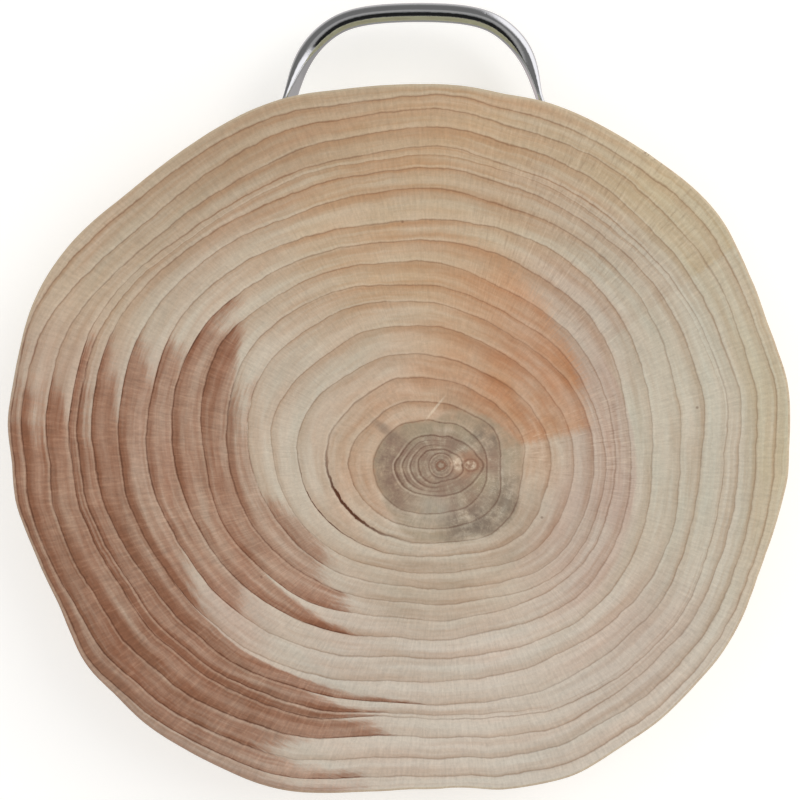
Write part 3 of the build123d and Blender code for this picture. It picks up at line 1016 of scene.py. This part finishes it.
def steel_material(name, shade, roughness, brushed):
    """Steel with faint polishing lines, or brushed more strongly."""
    material, s = new_material(name)
    spot = s.node("ShaderNodeTexCoord", {}, {}).out("Object")
    x, y, z = s.parts(spot)
    smears = s.noise(spot, 60.0, 3.0)
    lines = s.noise(s.vector(x * 300.0, y * 4000.0, z * 300.0), 1.0) * brushed
    peel = s.noise(spot, 900.0) + s.noise(spot, 260.0, 1.0) * 2.0
    s.surface({
        "Base Color": s.brighten(shade, 1 + smears * 0.05 + lines * 0.05),
        "Metallic": 1.0,
        "Roughness": roughness * (1 + smears * 0.5 + lines * 0.6),
        "Normal": s.bump(0.12, 0.0002, peel),
    })
    return material


def show(name, mesh, material):
    """Puts a finished mesh in the scene."""
    mesh.materials.append(material)
    piece = bpy.data.objects.new(name, mesh)
    bpy.context.scene.collection.objects.link(piece)
    return piece


class CHOPPING_OT_make_block(bpy.types.Operator):
    """Makes the wooden slice with its rings"""

    bl_idname = "chopping.make_block"
    bl_label = "Make Block"

    def execute(self, context):
        settings = context.scene.chopping_wood
        block = show("end_grain_block", build_block(settings), wood_material(settings))
        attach(block, "root")
        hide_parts("chopping_block")
        return {"FINISHED"}


class CHOPPING_OT_finish_handle(bpy.types.Operator):
    """Polishes the bow handle"""

    bl_idname = "chopping.finish_handle"
    bl_label = "Finish Handle"

    def execute(self, context):
        settings = context.scene.chopping_steel
        material = steel_material("polished_steel", tuple(settings.bow), settings.bow_roughness, 0.6)
        bm = bmesh.new()
        bm.from_mesh(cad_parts["bow_handle"].data)
        bmesh.ops.remove_doubles(bm, verts=bm.verts, dist=0.001 * MM)
        for face in bm.faces:
            face.smooth = True
        for edge in bm.edges:
            edge.smooth = edge.is_manifold and edge.calc_face_angle(math.pi) < math.radians(30)
        bow = show("polished_bow", mesh_of(bm, "polished_bow"), material)
        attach(bow, "root")
        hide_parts("bow_handle")
        return {"FINISHED"}


class CHOPPING_OT_finish_screws(bpy.types.Operator):
    """Gives the handle's screws their steel"""

    bl_idname = "chopping.finish_screws"
    bl_label = "Finish Screws"

    def execute(self, context):
        settings = context.scene.chopping_steel
        material = steel_material("screw_steel", tuple(settings.screw), settings.screw_roughness, 1.0)
        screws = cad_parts["handle_screws"]
        screws.data.materials.clear()
        screws.data.materials.append(material)
        return {"FINISHED"}


# The stage: how far the floor lights itself, the window and the tint that the steel mirrors, and
# the soft key light, in metres
FLOOR_GLOW = 0.28
WINDOW_LIGHT = (1.3, 1.3, 1.35)
STUDIO_TINT = (1.09, 0.955, 0.975)
KEY_SIZE = 0.9
KEY_PLACE = (0.9, 0.5, 1.0)
SENSOR_WIDTH = 36           # millimetres, as the lens setting is given for


class CHOPPING_OT_set_stage(bpy.types.Operator):
    """Lays the floor and sets the soft light and the camera"""

    bl_idname = "chopping.set_stage"
    bl_label = "Set Stage"

    def execute(self, context):
        settings = context.scene.chopping_stage
        scene = context.scene
        bm = bmesh.new()
        bmesh.ops.create_grid(bm, x_segments=1, y_segments=1, size=settings.floor_size / 2)
        material, s = new_material("pale_floor")
        s.surface({"Base Color": (*settings.floor, 1), "Roughness": 0.9,
                   "Emission Color": (1, 1, 1, 1), "Emission Strength": FLOOR_GLOW})
        floor = show("floor", mesh_of(bm, "floor"), material)
        floor.visible_glossy = False

        world = bpy.data.worlds.new("studio")
        scene.world = world
        s = Shader(world)
        away = s.node("ShaderNodeTexCoord", {}, {}).out("Generated")
        dx, dy, dz = s.parts(away)
        over_y = dy.maths("ARCTAN2", dz) * (0.5 / math.pi) + 0.5
        grey = s.node("ShaderNodeValToRGB", {"stops": studio_stops()}, {"Fac": over_y}).out(0)
        right = (dx * 0.75 + dy * 0.65).ramp(0.3, 0.62) * dx.ramp(0.12, 0.4) * dz.ramp(-0.6, -0.2)
        strip = dx.ramp(0.76, 0.88) * dz.ramp(-0.35, -0.05) * 0.6
        seen = s.mix(right.maths("MAXIMUM", strip), grey, WINDOW_LIGHT)
        seen = s.multiply(seen, STUDIO_TINT)
        glossy = s.node("ShaderNodeLightPath", {}, {}).out("Is Glossy Ray")
        light = s.mix(glossy, (settings.dome,) * 3, seen)
        background = s.node("ShaderNodeBackground", {}, {"Color": light, "Strength": 1.0})
        s.node("ShaderNodeOutputWorld", {}, {"Surface": background.out(0)})

        lamp = bpy.data.lights.new("key_light", "AREA")
        lamp.energy = settings.key
        lamp.shape = "DISK"
        lamp.size = KEY_SIZE
        key = bpy.data.objects.new("key_light", lamp)
        key.location = KEY_PLACE
        key.rotation_euler = (-key.location).to_track_quat("-Z", "Y").to_euler()
        key.visible_glossy = False
        scene.collection.objects.link(key)

        lens = bpy.data.cameras.new("camera")
        lens.lens = settings.lens
        lens.sensor_width = SENSOR_WIDTH
        lens.clip_start = 0.01
        camera = bpy.data.objects.new("camera", lens)
        camera.location = (settings.camera_x, settings.camera_y, settings.camera_height)
        camera.rotation_euler = (0, settings.camera_lean, 0)
        scene.collection.objects.link(camera)
        scene.camera = camera
        scene.view_settings.view_transform = "Standard"
        scene.view_settings.look = "None"
        return {"FINISHED"}


def studio_stops():
    """Grey of the studio by the angle from overhead, in degrees, positive beyond the handle."""
    marks = ((-180, 0.4), (-95, 0.36), (-60, 0.25), (-56, 0.1), (-48, 0.015), (-14, 0.015),
             (-8, 0.16), (2, 0.4), (14, 0.42), (26, 0.2), (60, 0.19), (84, 0.24), (104, 0.6),
             (130, 0.7), (180, 0.45))
    return [((degrees + 180) / 360, value) for degrees, value in marks]


class CHOPPING_PT_panel(bpy.types.Panel):
    """Lists the pieces and their settings"""

    bl_idname = "CHOPPING_PT_panel"
    bl_label = "Chopping Block"
    bl_space_type = "VIEW_3D"
    bl_region_type = "UI"
    bl_category = "Chopping Block"

    def draw(self, context):
        for operator in operators:
            self.layout.operator(operator.bl_idname)
        for holder in ("chopping_wood", "chopping_steel", "chopping_stage"):
            settings = getattr(context.scene, holder)
            box = self.layout.box()
            for name in settings.__annotations__:
                box.prop(settings, name)


operators = (CHOPPING_OT_make_block, CHOPPING_OT_finish_handle, CHOPPING_OT_finish_screws,
             CHOPPING_OT_set_stage)
classes = (WoodSettings, SteelSettings, StageSettings, *operators, CHOPPING_PT_panel)


def register():
    for kind in classes:
        bpy.utils.register_class(kind)
    bpy.types.Scene.chopping_wood = PointerProperty(type=WoodSettings)
    bpy.types.Scene.chopping_steel = PointerProperty(type=SteelSettings)
    bpy.types.Scene.chopping_stage = PointerProperty(type=StageSettings)


def unregister():
    for holder in ("chopping_wood", "chopping_steel", "chopping_stage"):
        delattr(bpy.types.Scene, holder)
    for kind in reversed(classes):
        bpy.utils.unregister_class(kind)


def main():
    register()
    bpy.ops.chopping.make_block()
    bpy.ops.chopping.finish_handle()
    bpy.ops.chopping.finish_screws()
    bpy.ops.chopping.set_stage()


if __name__ == "__main__":
    main()
